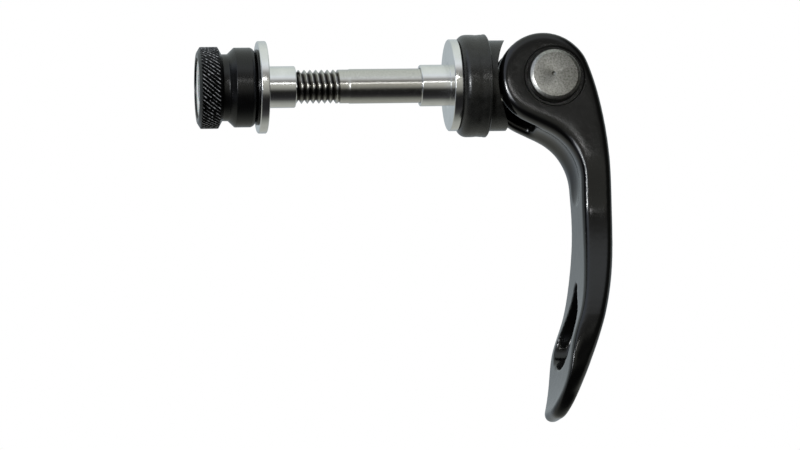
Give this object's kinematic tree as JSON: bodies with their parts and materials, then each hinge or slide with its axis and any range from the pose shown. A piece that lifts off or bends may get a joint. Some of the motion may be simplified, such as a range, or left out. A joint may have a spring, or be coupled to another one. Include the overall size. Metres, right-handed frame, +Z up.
{
  "type": "quick-release cam lever",
  "caption": "Curved lever with an eccentric cam on a barrel pin, pulling a skewer bolt that carries a saddle washer, hat washers and a knurled thumb nut.",
  "frame": {"origin": "on the skewer's axis, at the bearing face of the cam-side hat washer, where its sleeve leaves its flange", "axes": "+X along the skewer towards the lever, +Y along the lever's barrel pin, +Z up, so the closed lever hangs down along -Z"},
  "size_m": [0.0702, 0.0214, 0.0674],
  "materials": {
    "lever_paint": "gloss black paint over a forged aluminium lever",
    "plated_pin": "dull mottled zinc plate",
    "plated_bolt": "bright zinc plate",
    "saddle_plastic": "semi-gloss black moulded plastic with a fine texture",
    "turned_aluminium": "turned, silver anodised",
    "nut_anodised": "gloss black anodised",
    "ring_nylon": "natural nylon"
  },
  "bodies": {
    "skewer": {"skewer_bolt": "plated_bolt", "barrel_pin": "plated_pin"},
    "lever": {"lever": "lever_paint"},
    "saddle": {"saddle_washer": "saddle_plastic"},
    "cam_hat": {"cam_side_hat_washer": "turned_aluminium"},
    "nut_hat": {"nut_side_hat_washer": "turned_aluminium"},
    "nut": {"thumb_nut": "nut_anodised", "lock_ring": "ring_nylon"}
  },
  "joints": [
    {"name": "lever_swing", "type": "hinge", "parent": "skewer", "child": "lever", "pos_m": [0.01745, 0, 0], "axis": [0, -1, 0], "range_deg": [0, 165]},
    {"name": "saddle_slide", "type": "slide", "parent": "skewer", "child": "saddle", "axis": [1, 0, 0], "range_m": [-0.006, 0]},
    {"name": "cam_hat_slide", "type": "slide", "parent": "saddle", "child": "cam_hat", "axis": [1, 0, 0], "range_m": [-0.006, 0]},
    {"name": "nut_travel", "type": "slide", "parent": "skewer", "child": "nut_hat", "axis": [1, 0, 0], "range_m": [-0.00201, 0.00501]},
    {"name": "nut_spin", "type": "hinge", "parent": "nut_hat", "child": "nut", "pos_m": [-0.03165, 0, 0], "axis": [1, 0, 0], "range_deg": [-720, 1800]}
  ],
  "couplings": [
    {"joint": "nut_travel", "follows": "nut_spin", "m_per_rad": 0.00015915}
  ]
}
